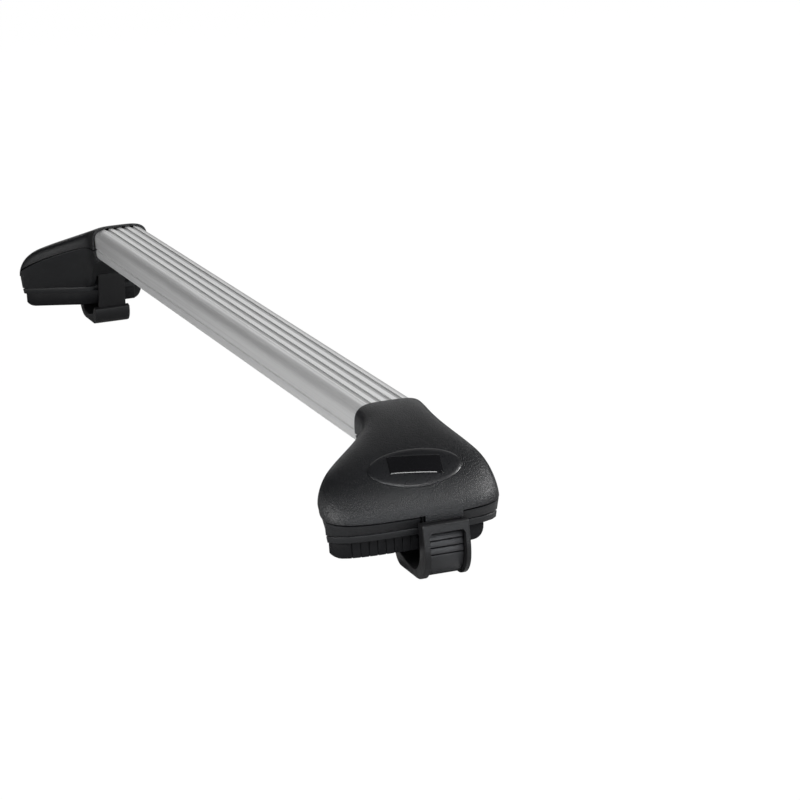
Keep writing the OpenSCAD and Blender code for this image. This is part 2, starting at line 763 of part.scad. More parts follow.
module rail_band() {
    wall_r = loop_r + back_wall;
    color("#2e2e2f") difference() {
        union() {
            band_plate();
            across(band_w) band_side();
        }
        // strap channel and window
        across(strap_w + 2 * gap) polygon(concat(
            [[loop_x - 5, back_top_z], [loop_x - 5, bar_top_z + 5], [buckle_x, bar_top_z + 5],
             [buckle_x, bar_top_z - bar_t], [foot_len + 40, bar_top_z - bar_t], [foot_len + 40, loop_z - 6]],
            [for (a = [tail_turn + 6 : -8 : 0])
                [loop_x - loop_r + wall_r * cos(a), loop_z + loop_r - wall_r * sin(a)]],
            [[loop_x + back_wall, back_top_z]]
        ));
        translate([pivot_x, 0, pivot_z]) rotate([90, 0, 0])
            cylinder(d = pin_d + 2 * shaft_fit + 0.04, h = strap_w + 2, center = true);
    }
}

module band_pin() {
    color("#c9cbce") translate([pivot_x, -neck_half + 3, pivot_z]) rotate([-90, 0, 0])
        cylinder(d = pin_d, h = 2 * neck_half - 6);
}

module bar_screw() {
    color("#d8dadc") translate([bar_screw_x, 0, -bar_h]) {
        cylinder(d = bar_screw_d, h = 11);
        difference() {
            translate([0, 0, -2.2]) cylinder(d1 = 6.5, d2 = 8, h = 2.2);
            translate([0, 0, -3]) cylinder(d = 3.2, h = 2, $fn = 6);
        }
    }
}

bar();
at_foot(1) base();  // base_near
at_foot(-1) base();  // base_far
at_foot(1) cover();  // cover_near
at_foot(-1) cover();  // cover_far
at_foot(1) oval_inlay();  // oval_inlay_near
at_foot(-1) oval_inlay();  // oval_inlay_far
at_foot(1) plain_plate();  // plain_plate_near
at_foot(-1) plain_plate();  // plain_plate_far
at_foot(1) rubber_pad();  // rubber_pad_near
at_foot(-1) rubber_pad();  // rubber_pad_far
at_foot(1) on_strap() tension_screw();  // tension_screw_near
at_foot(-1) on_strap() tension_screw();  // tension_screw_far
at_foot(1) on_strap() thrust_washer();  // thrust_washer_near
at_foot(-1) on_strap() thrust_washer();  // thrust_washer_far
at_foot(1) on_strap() nut_block();  // nut_block_near
at_foot(-1) on_strap() nut_block();  // nut_block_far
at_foot(1) on_strap() strap_pin();  // strap_pin_near
at_foot(-1) on_strap() strap_pin();  // strap_pin_far
at_foot(1) on_strap() toothed_strap();  // toothed_strap_near
at_foot(-1) on_strap() toothed_strap();  // toothed_strap_far
at_foot(1) on_strap() rail_band();  // rail_band_near
at_foot(-1) on_strap() rail_band();  // rail_band_far
at_foot(1) on_strap() band_pin();  // band_pin_near
at_foot(-1) on_strap() band_pin();  // band_pin_far
at_foot(1) bar_screw();  // bar_screw_near
at_foot(-1) bar_screw();  // bar_screw_far
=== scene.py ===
import math

import bmesh
import bpy
import numpy as np
from mathutils import Matrix, Vector


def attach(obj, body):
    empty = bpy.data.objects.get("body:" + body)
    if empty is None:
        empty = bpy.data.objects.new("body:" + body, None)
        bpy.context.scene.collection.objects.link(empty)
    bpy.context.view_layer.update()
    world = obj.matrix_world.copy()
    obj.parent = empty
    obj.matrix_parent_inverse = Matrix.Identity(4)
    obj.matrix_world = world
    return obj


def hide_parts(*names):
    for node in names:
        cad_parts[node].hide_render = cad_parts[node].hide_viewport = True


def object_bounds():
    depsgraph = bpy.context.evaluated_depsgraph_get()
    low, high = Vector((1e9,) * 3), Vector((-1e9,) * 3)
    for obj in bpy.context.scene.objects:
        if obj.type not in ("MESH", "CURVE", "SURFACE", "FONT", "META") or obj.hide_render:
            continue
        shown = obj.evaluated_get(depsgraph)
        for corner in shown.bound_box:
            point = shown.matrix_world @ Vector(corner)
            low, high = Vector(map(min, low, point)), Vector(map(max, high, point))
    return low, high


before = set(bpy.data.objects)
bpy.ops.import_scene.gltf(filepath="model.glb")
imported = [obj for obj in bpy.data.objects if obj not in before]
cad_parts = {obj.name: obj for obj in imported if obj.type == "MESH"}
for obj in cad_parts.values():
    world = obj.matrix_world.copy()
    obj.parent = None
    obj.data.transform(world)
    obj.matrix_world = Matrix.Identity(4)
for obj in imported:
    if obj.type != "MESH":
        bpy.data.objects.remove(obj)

cad_box = [[float(x) for x in corner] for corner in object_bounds()]
scene = bpy.context.scene
MM = 0.001
ENDS = (("near", 1), ("far", -1))

# Camera, fitted to the photograph's perspective: angles in radians, place in metres
CAMERA_YAW, CAMERA_PITCH, CAMERA_ROLL = 0.324481, 0.249168, -0.061928
CAMERA_PLACE = (2.786446, -0.777734, 0.630170)
CAMERA_LENS, CAMERA_SENSOR = 139.41, 36
CAMERA_CLIP = (0.05, 50)


def make_camera():
    level = math.cos(CAMERA_PITCH)
    forward = Vector((
        -math.cos(CAMERA_YAW) * level,
        math.sin(CAMERA_YAW) * level,
        -math.sin(CAMERA_PITCH),
    ))
    right = forward.cross(Vector((0, 0, 1))).normalized()
    up = right.cross(forward)
    across = math.cos(CAMERA_ROLL) * right + math.sin(CAMERA_ROLL) * up
    top = -math.sin(CAMERA_ROLL) * right + math.cos(CAMERA_ROLL) * up
    data = bpy.data.cameras.new("camera")
    data.lens = CAMERA_LENS
    data.sensor_width = CAMERA_SENSOR
    data.clip_start, data.clip_end = CAMERA_CLIP
    obj = bpy.data.objects.new("camera", data)
    obj.matrix_world = Matrix((
        (across.x, top.x, -forward.x, CAMERA_PLACE[0]),
        (across.y, top.y, -forward.y, CAMERA_PLACE[1]),
        (across.z, top.z, -forward.z, CAMERA_PLACE[2]),
        (0, 0, 0, 1),
    ))
    scene.collection.objects.link(obj)
    scene.camera = obj


make_camera()
scene.view_settings.view_transform = "Standard"


# Materials
class Nodes:
    """Short calls for a material's node tree."""

    def __init__(self, name):
        self.material = bpy.data.materials.new(name)
        self.material.use_nodes = True
        self.tree = self.material.node_tree
        self.shader = self.tree.nodes["Principled BSDF"]

    def add(self, kind, **values):
        node = self.tree.nodes.new(kind)
        for key, value in values.items():
            if key in node.inputs:
                node.inputs[key].default_value = value
            else:
                setattr(node, key, value)
        return node

    def link(self, a, b):
        self.tree.links.new(a, b)

    def feed(self, socket, value):
        """Links another socket to a socket, or sets its number."""
        if isinstance(value, bpy.types.NodeSocket):
            self.link(value, socket)
        else:
            socket.default_value = value

    def coords(self, scale=(1, 1, 1)):
        """Object coordinates, stretched by scale."""
        source = self.add("ShaderNodeTexCoord")
        mapping = self.add("ShaderNodeMapping")
        mapping.inputs["Scale"].default_value = scale
        self.link(source.outputs["Object"], mapping.inputs["Vector"])
        return mapping.outputs["Vector"]

    def noise(self, vector, scale, detail=2.0, rough=0.5):
        node = self.add("ShaderNodeTexNoise", Scale=scale, Detail=detail, Roughness=rough)
        self.link(vector, node.inputs["Vector"])
        return node.outputs["Fac"]

    def ramp(self, value, low, high, start=0.0, end=1.0):
        """Maps a value from start..end to low..high."""
        node = self.add("ShaderNodeMapRange")
        node.inputs["From Min"].default_value = start
        node.inputs["From Max"].default_value = end
        node.inputs["To Min"].default_value = low
        node.inputs["To Max"].default_value = high
        self.link(value, node.inputs["Value"])
        return node.outputs["Result"]

    def maths(self, operation, first, second):
        """Result of an operation on two values, each a number or a socket."""
        node = self.add("ShaderNodeMath", operation=operation)
        self.feed(node.inputs[0], first)
        self.feed(node.inputs[1], second)
        return node.outputs[0]

    def blend(self, value, first, second):
        """Mixes two colours, each four numbers or a socket, by a value."""
        node = self.add("ShaderNodeMix", data_type="RGBA")
        for socket, colour in zip([s for s in node.inputs if s.type == "RGBA"], (first, second)):
            self.feed(socket, colour)
        self.link(value, node.inputs["Factor"])
        return [s for s in node.outputs if s.type == "RGBA"][0]

    def tint(self, value, dark, light):
        """Mixes two colours, three numbers each, by a value."""
        return self.blend(value, (*dark, 1), (*light, 1))

    def bump(self, height, distance, strength, after=None):
        node = self.add("ShaderNodeBump", Distance=distance, Strength=strength)
        self.link(height, node.inputs["Height"])
        if after is not None:
            self.link(after, node.inputs["Normal"])
        return node.outputs["Normal"]

    def put(self, **sockets):
        """Links sockets or sets numbers on the main shader, and gives the material."""
        for key, value in sockets.items():
            self.feed(self.shader.inputs[key.replace("_", " ")], value)
        return self.material


# Most of a noise texture lies between these values
NOISE_SPAN = (0.3, 0.7)


def plastic(name, dark, light, rough, grain, depth, specular):
    """Moulded plastic: grain is the size of its texture in metres, depth its height."""
    n = Nodes(name)
    v = n.coords()
    fine = n.noise(v, 1 / grain, 1.5, 0.6)
    broad = n.noise(v, 18, 3)
    return n.put(
        Base_Color=n.tint(n.ramp(broad, 0, 1, *NOISE_SPAN), dark, light),
        Roughness=n.ramp(fine, rough - 0.07, rough + 0.09, *NOISE_SPAN),
        Specular_IOR_Level=specular,
        Normal=n.bump(fine, depth, 0.9),
    )


# Heights in metres on the bar, for its painted shade: the floors of the top grooves, painted
# darker, lie between the ridges, which end in the first span, and the sides without grooves, which
# begin in the second
RIDGE_SPAN = (-0.0011, -0.0004)
SIDE_SPAN = (-0.0030, -0.0014)
DRAWN_SPAN = (0.35, 0.65)
# greys of the ridges and sides, then the darker greys of the groove floors, which are painted
# shade
SKIN_GREYS, GROOVE_SHADE_GREYS = (0.76, 0.85), (0.48, 0.55)


def aluminium():
    """Drawn and anodised, with painted shade: a little darker on the floors of the grooves than on
    the ridges.
    """
    n = Nodes("bar_aluminium")
    lines = n.noise(n.coords((3, 900, 900)), 1, 3, 0.6)
    clouds = n.noise(n.coords((4, 60, 60)), 1, 2)
    grit = n.noise(n.coords(), 2600, 1)
    split = n.add("ShaderNodeSeparateXYZ")
    n.link(n.coords(), split.inputs[0])
    height = split.outputs["Z"]
    # mask of the painted groove shade: 1 on the ridges and sides, 0 on the groove floors
    unshaded = n.maths("MAXIMUM", n.ramp(height, 0, 1, *RIDGE_SPAN), n.ramp(height, 1, 0, *SIDE_SPAN))
    drawn = n.ramp(lines, 0, 1, *DRAWN_SPAN)
    painted_groove_shade, skin_tone = (
        n.tint(drawn, *([grey] * 3 for grey in greys)) for greys in (GROOVE_SHADE_GREYS, SKIN_GREYS)
    )
    return n.put(
        Base_Color=n.blend(unshaded, painted_groove_shade, skin_tone),
        Metallic=0.65,
        Specular_IOR_Level=0.2,
        Roughness=n.ramp(clouds, 0.40, 0.47, *NOISE_SPAN),
        Normal=n.bump(grit, 0.00004, 0.5, n.bump(lines, 0.00002, 0.6)),
    )


def steel(name, colour, rough):
    n = Nodes(name)
    v = n.coords()
    spots = n.noise(v, 900, 2)
    dark = tuple(0.82 * c for c in colour)
    return n.put(
        Base_Color=n.tint(n.ramp(spots, 0, 1, *NOISE_SPAN), dark, colour),
        Metallic=1.0,
        Roughness=n.ramp(n.noise(v, 300, 2), rough - 0.06, rough + 0.08, *NOISE_SPAN),
        Normal=n.bump(spots, 0.00003, 0.5),
    )


def gloss(name, dark, light):
    n = Nodes(name)
    v = n.coords()
    return n.put(
        Base_Color=n.tint(n.ramp(n.noise(v, 40), 0, 1), dark, light),
        Roughness=n.ramp(n.noise(v, 500, 2), 0.08, 0.12, *NOISE_SPAN),
        Specular_IOR_Level=0.6,
        Normal=n.bump(n.noise(v, 150, 2), 0.00002, 0.4),
    )


# Dark and light colour, roughness, size and height of the grain in metres, specular level
PLASTICS = {
    "cover_plastic": (
        (0.0045, 0.0048, 0.0056), (0.0065, 0.0069, 0.0080), 0.38, 0.0010, 0.00055, 0.5),
    "inlay_plastic": (
        (0.0075, 0.0077, 0.0086), (0.0100, 0.0103, 0.0115), 0.33, 0.0012, 0.00005, 0.5),
    "base_plastic": (
        (0.0065, 0.0068, 0.0078), (0.0090, 0.0095, 0.0108), 0.44, 0.0010, 0.00030, 0.45),
    "pad_rubber": (
        (0.0030, 0.0031, 0.0038), (0.0042, 0.0043, 0.0052), 0.58, 0.0011, 0.00010, 0.2),
    "band_plastic": (
        (0.0065, 0.0065, 0.0072), (0.0090, 0.0090, 0.0098), 0.42, 0.0009, 0.00020, 0.38),
    "strap_plastic": (
        (0.0210, 0.0213, 0.0230), (0.0280, 0.0284, 0.0305), 0.40, 0.0012, 0.00012, 0.5),
}
MATERIALS = {
    "bar_aluminium": aluminium(),
    "plate_gloss": gloss("plate_gloss", (0.004, 0.004, 0.0045), (0.007, 0.007, 0.008)),
    "zinc_steel": steel("zinc_steel", (0.62, 0.63, 0.64), 0.28),
    "cast_steel": steel("cast_steel", (0.34, 0.35, 0.36), 0.45),
}
for material_name, values in PLASTICS.items():
    MATERIALS[material_name] = plastic(material_name, *values)


def dress(obj, name):
    """Gives a piece one material in every slot."""
    obj.data.materials.clear()
    obj.data.materials.append(MATERIALS[name])


# Angles in degrees over which an edge counts as sharp; the merging distance in millimetres
CAD_SHARP, COVER_SHARP, RING_SHARP, STRAP_SHARP = 32, 48, 32, 24
MERGE_UNDER = 0.004


def smoothed(obj, angle):
    """Smooth shading up to the edges that are sharper than the angle."""
    obj.data.shade_smooth()
    obj.data.set_sharp_from_angle(angle=math.radians(angle))


def bevelled(obj, width, segments, angle, harden=False):
    """Rounds the edges that are sharper than the angle; the width is in millimetres."""
    bevel = obj.modifiers.new("edges", "BEVEL")
    bevel.width = width * MM
    bevel.segments = segments
    bevel.limit_method = "ANGLE"
    bevel.angle_limit = math.radians(angle)
    bevel.harden_normals = harden
    return obj


# Sizes of the foot in millimetres, from its mouth, the same as in the part's source
MOUTH_X = 445
BAR_W, BAR_H = 55.2, 32.8
FOOT_LEN = 118
REACH_LEFT, REACH_RIGHT = 94, 55.5
NOSE_DROP = 63.7
WALL = 2.2
GAP = 0.3
MOUTH_SIDE, MOUTH_ROOF = 0.9, 0.5
MOUTH_HALF = BAR_W / 2 + GAP + WALL + MOUTH_SIDE
MOUTH_TOP = GAP + WALL + MOUTH_ROOF
RIM_DROP = BAR_H * 0.64
FLARE_START = 14
RIM_END = FOOT_LEN + 12
LEFT_END, RIGHT_END = FOOT_LEN - 27, FOOT_LEN - 24
CROWN = 2
TAB_MID, TAB_W, TAB_DROP, TAB_SLANT, LIP = 1.5, 32, 8.3, 1, 1

# Shape of the skin's curves: the crest's two powers, the section's powers and how much they
# change from mouth to nose, and where the nose begins along u and its length
CREST_ALONG, CREST_DOWN = 1.3, 1.7
FULL_POWER, FULL_CHANGE = 4.2, 0.4
FRONT_POWER = 1.6
HEIGHT_POWER, HEIGHT_CHANGE = 4, 3
NOSE_FROM, NOSE_LENGTH = 0.7, 0.3

# Mesh of the skin: columns at each rim and in the flat parts, rows, their spacing, and the
# widths of the steps beside the tab and at the rims
RIM_COLUMNS, FLAT_COLUMNS, TAB_COLUMNS = 26, 26, 24
RIM_REACH, RIM_POWER, RIM_ROOT = 0.86, 5, 0.25
ROWS, ROW_POWER, LAST_ROW = 84, 0.85, 0.9995
TAB_STEP, RIM_LIP = 0.003, 0.01


def smooth(t):
    c = np.clip(t, 0, 1)
    return c * c * (3 - 2 * c)


def crest(x, t):
    """Height of the skin's ridge at x; t is the depth under the outer skin."""
    q = np.clip(x / (FOOT_LEN - t), 0, 1)
    top = MOUTH_TOP - t
    fall = 1 - np.power(1 - np.power(q, CREST_ALONG), 1 / CREST_DOWN)
    return top - (top + NOSE_DROP) * fall


def rim_z(x):
    share = smooth((x - FLARE_START) / (RIM_END - FLARE_START))
    return -RIM_DROP - (NOSE_DROP - RIM_DROP) * share


def flare(x, reach, end):
    """Half width of one wing at x, from the mouth to its full reach."""
    return MOUTH_HALF + (reach - MOUTH_HALF) * smooth((x - FLARE_START) / (end - FLARE_START))


def skin(u, q, t):
    """Points of the cover's skin: u from mouth to nose, q from the left rim to the right rim."""
    u, q = np.broadcast_arrays(np.asarray(u, float), np.asarray(q, float))
    lx, rx = LEFT_END * u, RIGHT_END * u
    ly, ry = t - flare(lx, REACH_LEFT, LEFT_END), flare(rx, REACH_RIGHT, RIGHT_END) - t
    lz, rz = rim_z(lx), rim_z(rx)
    f = np.maximum(0, 1 - np.power(np.abs(q), FULL_POWER - FULL_CHANGE * u))
    bx = (lx + rx) / 2 + (rx - lx) / 2 * q
    by = (ly + ry) / 2 + (ry - ly) / 2 * q
    bz = (lz + rz) / 2 + (rz - lz) / 2 * q
    x = bx + ((FOOT_LEN - t) * u - bx) * np.power(f, 1 / (FRONT_POWER + u))
    nose = smooth((u - NOSE_FROM) / NOSE_LENGTH)
    top = (crest(x, t) * (1 - nose) + crest((FOOT_LEN - t) * u, t) * nose
           - CROWN * q * q * smooth(2 * u) * (1 - nose))
    z = bz + (top - bz) * np.power(f, 1 / (HEIGHT_POWER + HEIGHT_CHANGE * u))
    return np.stack([x, by, z], axis=-1)


def mesh_object(name, points, faces):
    mesh = bpy.data.meshes.new(name)
    mesh.from_pydata([tuple(p) for p in points], [], faces)
    mesh.validate()
    mesh.update()
    obj = bpy.data.objects.new(name, mesh)
    scene.collection.objects.link(obj)
    return obj


def placed(points, side):
    """Foot points in millimetres to the shared frame in metres; side is 1 at +X, -1 at -X."""
    out = np.array(points, float).reshape(-1, 3)
    out[:, 0] = side * (out[:, 0] + MOUTH_X)
    return out * MM


def shell(name, outer, inner, side):
    """Closed shell between two grids of points."""
    m, n = outer.shape[:2]
    o = np.arange(m * n).reshape(m, n)
    s = o + m * n
    faces = []
    for i in range(m - 1):
        for j in range(n - 1):
            faces.append((o[i, j], o[i, j + 1], o[i + 1, j + 1], o[i + 1, j]))
            faces.append((s[i, j], s[i + 1, j], s[i + 1, j + 1], s[i, j + 1]))
    for j in range(n - 1):
        faces.append((o[0, j], s[0, j], s[0, j + 1], o[0, j + 1]))
        faces.append((o[m - 1, j], o[m - 1, j + 1], s[m - 1, j + 1], s[m - 1, j]))
    for i in range(m - 1):
        faces.append((o[i, 0], o[i + 1, 0], s[i + 1, 0], s[i, 0]))
        faces.append((o[i, n - 1], s[i, n - 1], s[i + 1, n - 1], o[i + 1, n - 1]))
    faces = [tuple(int(k) for k in f) for f in faces]
    if side > 0:
        faces = [f[::-1] for f in faces]
    points = np.concatenate([placed(outer, side), placed(inner, side)])
    return mesh_object(name, points, faces)


def cover_columns():
    """Columns of the skin, closer together where it turns down to the rims, with steps at
    the tab; and the tab's two edges."""
    mid, half = (REACH_RIGHT - REACH_LEFT) / 2, (REACH_RIGHT + REACH_LEFT) / 2
    a, b = (TAB_MID - TAB_W / 2 - mid) / half, (TAB_MID + TAB_W / 2 - mid) / half
    edge = np.power(1 - np.power(np.linspace(0, RIM_REACH, RIM_COLUMNS), RIM_POWER), RIM_ROOT)
    left = np.concatenate([-edge, np.linspace(-edge[-1], a - TAB_STEP, FLAT_COLUMNS)[1:]])
    right = np.concatenate([edge, np.linspace(edge[-1], b + TAB_STEP, FLAT_COLUMNS)[1:]])
    tab = np.linspace(a + TAB_STEP, b - TAB_STEP, TAB_COLUMNS)
    return np.concatenate([left, tab, right[::-1]]), a, b


def cover_grid(t):
    """The skin at a depth, with the lip and the tab hanging from its front in two rows."""
    q, a, b = cover_columns()
    u = np.power(np.linspace(0, 1, ROWS), ROW_POWER) * LAST_ROW
    grid = skin(u[:, None], q[None, :], t)
    tab = TAB_DROP - TAB_SLANT + 2 * TAB_SLANT * (q - a) / (b - a)
    drop = np.where((q > a) & (q < b), tab, LIP)
    drop[np.abs(q) >= 1] = RIM_LIP
    rows = [grid]
    for part in (0.5, 1.0):
        last = grid[-1].copy()
        last[:, 2] -= drop * part
        rows.append(last[None])
    return np.concatenate(rows)


for end, side in ENDS:
    cover = shell(f"cover_shell_{end}", cover_grid(0.0), cover_grid(WALL), side)
    dress(cover, "cover_plastic")
    smoothed(cover, COVER_SHARP)
    bevelled(cover, 0.45, 2, COVER_SHARP, harden=True)
    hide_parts(f"cover_{end}")
    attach(cover, f"lid_{end}")

# Buckle and strap, with the round edges and undercut teeth that the solids leave out.
# Outlines are x and z in millimetres from the mouth, drawn across in y
STRAP_Y, STRAP_HALF = -1.0, 14.5
RING_FROM, RING_TO = -21.3, 18.0
RAIL_X, RAIL_Z, RAIL_R = 97.5, -89.7, 20
BACK_WALL, STRAP_T = 2.5, 3
PIVOT_X, PIVOT_Z, EYE_X, EYE_Z, EYE_R = 50, -53.5, 99, -50.5, 4.6
PLATE_HALF, FORK_HALF = 15, 5.4
EDGE_ANGLE = 40

# The strap's channel through the buckle: play behind and beside the strap, the angles where
# it turns under the rail, and how far the cutters reach past the buckle
CHANNEL_PLAY, SIDE_PLAY, STRAP_PLAY = 0.2, 0.7, 0.3
CHANNEL_TURN, CHANNEL_STEP, CHANNEL_OUT = 82, 6, 75
CUT_X, CUT_Z = 165, -150
WINDOW_X, WINDOW_TOP, WINDOW_CORNER = 125, -75.6, 3.4

# Saw teeth: number, pitch and height of the first one's edge; then how far their faces lie
# out of the strap, their nicks in it, and their edges out of the faces
TEETH, TOOTH_PITCH, TOOTH_TOP = 3, 5.7, -83.2
FACE_OUT, NICK_UNDER, LIP_OUT = 0.9, 1.2, 0.7


def rounded(corners, steps=8):
    """Corners (x, z, radius) to an outline."""
    out = []
    for i, (x, z, radius) in enumerate(corners):
        p = np.array((x, z), float)
        if radius <= 0:
            out.append(p)
            continue
        a = np.array(corners[i - 1][:2], float) - p
        b = np.array(corners[(i + 1) % len(corners)][:2], float) - p
        a, b = a / np.linalg.norm(a), b / np.linalg.norm(b)
        half = math.acos(np.clip(a @ b, -1, 1)) / 2
        mid = p + (a + b) / np.linalg.norm(a + b) * radius / math.sin(half)
        start = p + a * radius / math.tan(half) - mid
        stop = p + b * radius / math.tan(half) - mid
        turn = math.atan2(start[0] * stop[1] - start[1] * stop[0], start @ stop)
        for k in range(steps + 1):
            c, d = math.cos(turn * k / steps), math.sin(turn * k / steps)
            out.append(mid + np.array((start[0] * c - start[1] * d, start[0] * d + start[1] * c)))
    return np.array(out)


def around(radius, degrees):
    """Point at a radius from the rail's middle, turned down from the front."""
    a = math.radians(degrees)
    return (RAIL_X + radius * math.cos(a), RAIL_Z - radius * math.sin(a))


def circle(x, z, radius, sides=32):
    turns = np.linspace(0, 2 * math.pi, sides + 1)[:-1]
    return [(x + radius * math.cos(a), z + radius * math.sin(a)) for a in turns]


def recalculated(obj):
    """Turns all faces outwards."""
    grid = bmesh.new()
    grid.from_mesh(obj.data)
    bmesh.ops.recalc_face_normals(grid, faces=grid.faces)
    grid.to_mesh(obj.data)
    grid.free()
    return obj


def between_ends(name, one, two):
    """Solid between two like outlines, given as points in millimetres."""
    n = len(one)
    points = [(x * MM, y * MM, z * MM) for x, y, z in one + two]
    faces = [tuple(range(n)), tuple(range(2 * n - 1, n - 1, -1))]
    faces += [(i, n + i, n + (i + 1) % n, (i + 1) % n) for i in range(n)]
    return recalculated(mesh_object(name, points, faces))


def prism(outline, y0, y1):
    """Outline in x and z, drawn across from y0 to y1."""
    return between_ends("prism", *([(x, y, z) for x, z in outline] for y in (y0, y1)))


def window(y0, y1, top, radius, x0, x1, low):
    """Cutter through the buckle's front, open at the bottom, with two rounded corners."""
    outline = rounded([(y0, low, 0), (y0, top, radius), (y1, top, radius), (y1, low, 0)])
    return between_ends("window", *([(x, y, z) for y, z in outline] for x in (x0, x1)))


def carved(obj, cutter):
    cut = obj.modifiers.new("cut", "BOOLEAN")
    cut.operation = "DIFFERENCE"
    cut.solver = "EXACT"
    cut.object = cutter


def baked(*pieces, cutters=()):
    """Points and faces of pieces with their modifiers; the pieces and cutters are removed."""
    graph = bpy.context.evaluated_depsgraph_get()
    points, faces = [], []
    for piece in pieces:
        mesh = bpy.data.meshes.new_from_object(piece.evaluated_get(graph))
        start = len(points)
        points += [tuple(v.co) for v in mesh.vertices]
        faces += [tuple(start + k for k in f.vertices) for f in mesh.polygons]
        bpy.data.meshes.remove(mesh)
    for obj in (*pieces, *cutters):
        bpy.data.objects.remove(obj)
    return points, faces


def put_at_foot(name, shape, side, look, replaced, body, angle):
    """Copies a baked shape to one foot, mirrored at the far one."""
    points, faces = shape
    placed_points = [(side * (x + MOUTH_X * MM), y, z) for x, y, z in points]
    obj = recalculated(mesh_object(name, placed_points, faces))
    dress(obj, look)
    smoothed(obj, angle)
    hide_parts(replaced)
    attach(obj, body)


def ring_shape():
    """Wide loop under the rail that ends in the buckle, with its plate up to the pin."""
    side_view = rounded([
        (60.5, -97.5, 1), (68.5, -106.6, 6), (92, -111.2, 30), (117.6, -112.6, 20),
        (117.6, -68.6, 0), (128.6, -67.8, 3.2), (131.2, -90, 30), (128.8, -117.5, 24),
        (55.2, -117.6, 14.5), (54.4, -99, 1.5),
    ])
    back_x = RAIL_X + RAIL_R + BACK_WALL + CHANNEL_PLAY
    channel = [
        (back_x, -84), (back_x, -60), (126, -60), (126, RAIL_Z), (CUT_X, RAIL_Z),
        (CUT_X, CUT_Z), around(CHANNEL_OUT, CHANNEL_TURN),
    ]
    channel += [
        around(RAIL_R + BACK_WALL + CHANNEL_PLAY, a)
        for a in range(CHANNEL_TURN, -1, -CHANNEL_STEP)
    ]
    sides = STRAP_Y - STRAP_HALF - SIDE_PLAY, STRAP_Y + STRAP_HALF + SIDE_PLAY
    ring = bevelled(prism(side_view, RING_FROM, RING_TO), 1.5, 4, EDGE_ANGLE)
    inner = prism(channel, *sides)
    front = window(*sides, WINDOW_TOP, WINDOW_CORNER, WINDOW_X, CUT_X, CUT_Z)
    carved(ring, inner)
    carved(ring, front)
    bevelled(ring, 0.7, 2, EDGE_ANGLE)
    plate_view = rounded([
        (PIVOT_X - 2, PIVOT_Z, 0), (PIVOT_X + 2, PIVOT_Z, 0), (PIVOT_X + 3, PIVOT_Z - 10, 10),
        (61.2, -100, 0), (56.8, -101, 0), (PIVOT_X - 1, PIVOT_Z - 10, 12),
    ])
    ends = STRAP_Y - PLATE_HALF, STRAP_Y + PLATE_HALF
    plate = bevelled(prism(plate_view, *ends), 0.6, 2, EDGE_ANGLE)
    eye = prism(circle(PIVOT_X, PIVOT_Z, EYE_R), *ends)
    return baked(ring, plate, eye, cutters=(inner, front))


def strap_shape():
    """Strap from its eyes out under the tab, down behind the buckle and round the corner."""
    run_x = RAIL_X + RAIL_R + BACK_WALL + STRAP_PLAY + STRAP_T / 2
    path = rounded([
        (EYE_X, EYE_Z, 0), (EYE_X + 12, -71.5, 8), (run_x, -79.6, 4), (run_x, -115, 21),
        (97, -115, 0),
    ], 12)
    steps = np.linalg.norm(np.diff(path, axis=0), axis=1)
    along = np.concatenate(([0], np.cumsum(steps)))

    def at(s, out):
        """Point at s along the strap, at a distance outwards from its middle line."""
        i = min(int(np.searchsorted(along, s, side="right")) - 1, len(steps) - 1)
        t = (path[i + 1] - path[i]) / steps[i]
        before = path[i] - path[i - 1] if i else path[1] - path[0]
        after = path[i + 2] - path[i + 1] if i + 2 < len(path) else path[i + 1] - path[i]
        share = (s - along[i]) / steps[i]
        lean = ((1 - share) * (before / np.linalg.norm(before) + t)
                + share * (after / np.linalg.norm(after) + t))
        lean = lean / np.linalg.norm(lean)
        return path[i] + t * (s - along[i]) + np.array((-lean[1], lean[0])) * out

    # the strap runs straight down from this point on, so length and height change alike
    straight = int(np.argmax(path[:, 0] > run_x - 0.001))
    first = along[straight] + path[straight][1] - TOOTH_TOP
    face, nick = STRAP_T / 2 + FACE_OUT, STRAP_T / 2 - NICK_UNDER
    outer = [at(s, STRAP_T / 2) for s in along[along < first - 4]]
    outer += [at(first - 3.6, face), at(first - 0.45, face + LIP_OUT)]
    for k in range(TEETH):
        start = first + k * TOOTH_PITCH
        outer += [at(start - 0.4, nick), at(start + 0.5, nick), at(start + 0.9, face - 0.1)]
        if k < TEETH - 1:
            outer.append(at(start + TOOTH_PITCH - 0.45, face + LIP_OUT))
    tail = first + (TEETH - 1) * TOOTH_PITCH + 2
    outer += [at(s, face) for s in np.linspace(tail, along[-1], 16)]
    inner = [at(s, -STRAP_T / 2) for s in along]
    low, high = STRAP_Y - STRAP_HALF, STRAP_Y + STRAP_HALF
    band = bevelled(prism(outer + inner[::-1], low, high), 0.2, 2, 30)
    ring = circle(EYE_X, EYE_Z, EYE_R)
    eyes = prism(ring, low, STRAP_Y - FORK_HALF), prism(ring, STRAP_Y + FORK_HALF, high)
    return baked(band, *eyes)


ring, strap = ring_shape(), strap_shape()
for end, side in ENDS:
    body = f"loop_{end}"
    put_at_foot(
        f"band_shell_{end}", ring, side, "band_plastic", f"rail_band_{end}", body, RING_SHARP)
    put_at_foot(
        f"strap_shell_{end}", strap, side, "strap_plastic", f"toothed_strap_{end}", body,
        STRAP_SHARP)

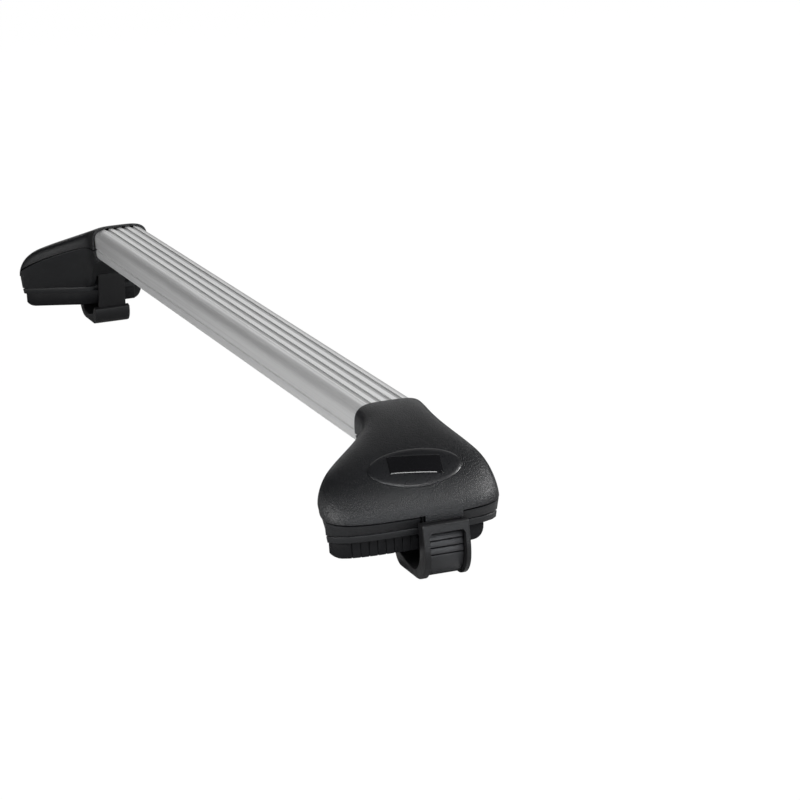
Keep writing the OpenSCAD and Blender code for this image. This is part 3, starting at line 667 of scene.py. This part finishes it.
# Pieces of the construction that stay, with their materials and edge roundings in millimetres
LOOKS = {
    "base": ("base_plastic", 0.5),
    "oval_inlay": ("inlay_plastic", 0.3),
    "plain_plate": ("plate_gloss", 0.2),
    "rubber_pad": ("pad_rubber", 0.5),
    "tension_screw": ("zinc_steel", 0.25),
    "thrust_washer": ("zinc_steel", 0.2),
    "nut_block": ("cast_steel", 0.3),
    "strap_pin": ("zinc_steel", 0.3),
    "band_pin": ("zinc_steel", 0.3),
    "bar_screw": ("zinc_steel", 0.2),
}
for end, side in ENDS:
    for kind, (look, width) in LOOKS.items():
        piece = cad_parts[f"{kind}_{end}"]
        dress(piece, look)
        piece.data.shade_smooth()
        # their faces come unjoined, and edges can only be rounded where faces meet
        piece.modifiers.new("merge", "WELD").merge_threshold = MERGE_UNDER * MM
        bevelled(piece, width, 2, CAD_SHARP, harden=True)
# the bar stays flat-shaded: its grooves are crisp, and joining would smear its facets
dress(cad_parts["bar"], "bar_aluminium")
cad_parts["bar"].data.shade_flat()

# Floor and backdrop: size and gap under the part in metres, tones, and how much of what the
# camera sees of the floor is its own even glow
FLOOR_HALF, FLOOR_GAP = 12, 0.0002
FLOOR_TONE, FLOOR_ROUGH, FLOOR_SPECULAR = 0.56, 0.9, 0.1
FLOOR_GLOW, GLOW_SHARE = 1.03, 0.97
WORLD_LIGHT, WORLD_SEEN = 0.03, 1.0


def make_floor():
    mesh = bpy.data.meshes.new("floor")
    corners = [(-1, -1), (1, -1), (1, 1), (-1, 1)]
    mesh.from_pydata([(FLOOR_HALF * x, FLOOR_HALF * y, 0) for x, y in corners], [], [(0, 1, 2, 3)])
    floor = bpy.data.objects.new("floor", mesh)
    floor.location = (0, 0, cad_box[0][2] - FLOOR_GAP)
    scene.collection.objects.link(floor)
    n = Nodes("floor_white")
    n.put(
        Base_Color=(FLOOR_TONE, FLOOR_TONE, FLOOR_TONE, 1),
        Roughness=FLOOR_ROUGH,
        Specular_IOR_Level=FLOOR_SPECULAR,
    )
    glow = n.add("ShaderNodeEmission", Strength=FLOOR_GLOW)
    glow.inputs["Color"].default_value = (1, 1, 1, 1)
    path = n.add("ShaderNodeLightPath")
    seen = n.maths(
        "MAXIMUM", path.outputs["Is Camera Ray"], path.outputs["Is Transmission Ray"])
    mix = n.add("ShaderNodeMixShader")
    n.link(n.maths("MULTIPLY", seen, GLOW_SHARE), mix.inputs["Fac"])
    n.link(n.shader.outputs[0], mix.inputs[1])
    n.link(glow.outputs[0], mix.inputs[2])
    n.link(mix.outputs[0], n.tree.nodes["Material Output"].inputs["Surface"])
    mesh.materials.append(n.material)


def make_world():
    """White where the camera sees it, and nearly no light of its own."""
    world = bpy.data.worlds.new("studio")
    scene.world = world
    world.use_nodes = True
    tree = world.node_tree
    back = tree.nodes["Background"]
    back.inputs["Color"].default_value = (1, 1, 1, 1)
    path = tree.nodes.new("ShaderNodeLightPath")
    strength = tree.nodes.new("ShaderNodeMapRange")
    tree.links.new(path.outputs["Is Camera Ray"], strength.inputs["Value"])
    strength.inputs["To Min"].default_value = WORLD_LIGHT
    strength.inputs["To Max"].default_value = WORLD_SEEN
    tree.links.new(strength.outputs["Result"], back.inputs["Strength"])


def area_light(name, place, target, size, power, colour=(1, 1, 1)):
    data = bpy.data.lights.new(name, "AREA")
    data.shape = "RECTANGLE"
    data.size, data.size_y = size
    data.energy = power
    data.color = colour
    obj = bpy.data.objects.new(name, data)
    obj.location = place
    obj.rotation_euler = (Vector(target) - Vector(place)).to_track_quat("-Z", "Y").to_euler()
    scene.collection.objects.link(obj)


make_floor()
make_world()
area_light("back_soft", (-2.3, 0.9, 1.2), (0, 0, 0), (2.6, 1.6), 14)
area_light("left_soft", (1.5, -1.7, 0.75), (0.5, 0, -0.05), (0.7, 0.5), 28)
area_light("left_far", (-0.3, -2.1, 0.35), (-0.1, 0, -0.05), (1.6, 0.4), 8)
area_light("right_soft", (0.95, 1.8, 1.0), (0.45, 0, -0.05), (0.7, 0.5), 34)
area_light("front_low", (2.8, 0.3, 0.2), (0.5, 0, -0.05), (2.4, 0.5), 19, (0.93, 0.96, 1.0))
area_light("front_high", (2.2, -0.3, 1.7), (0.5, 0, -0.05), (1.0, 0.6), 10, (0.96, 0.98, 1.0))
# gives the thin light line on the lower edge of the bare plate
area_light("plate_strip", (1.74, 0.38, 1.31), (0.525, 0.0, -0.02), (0.5, 0.2), 5)
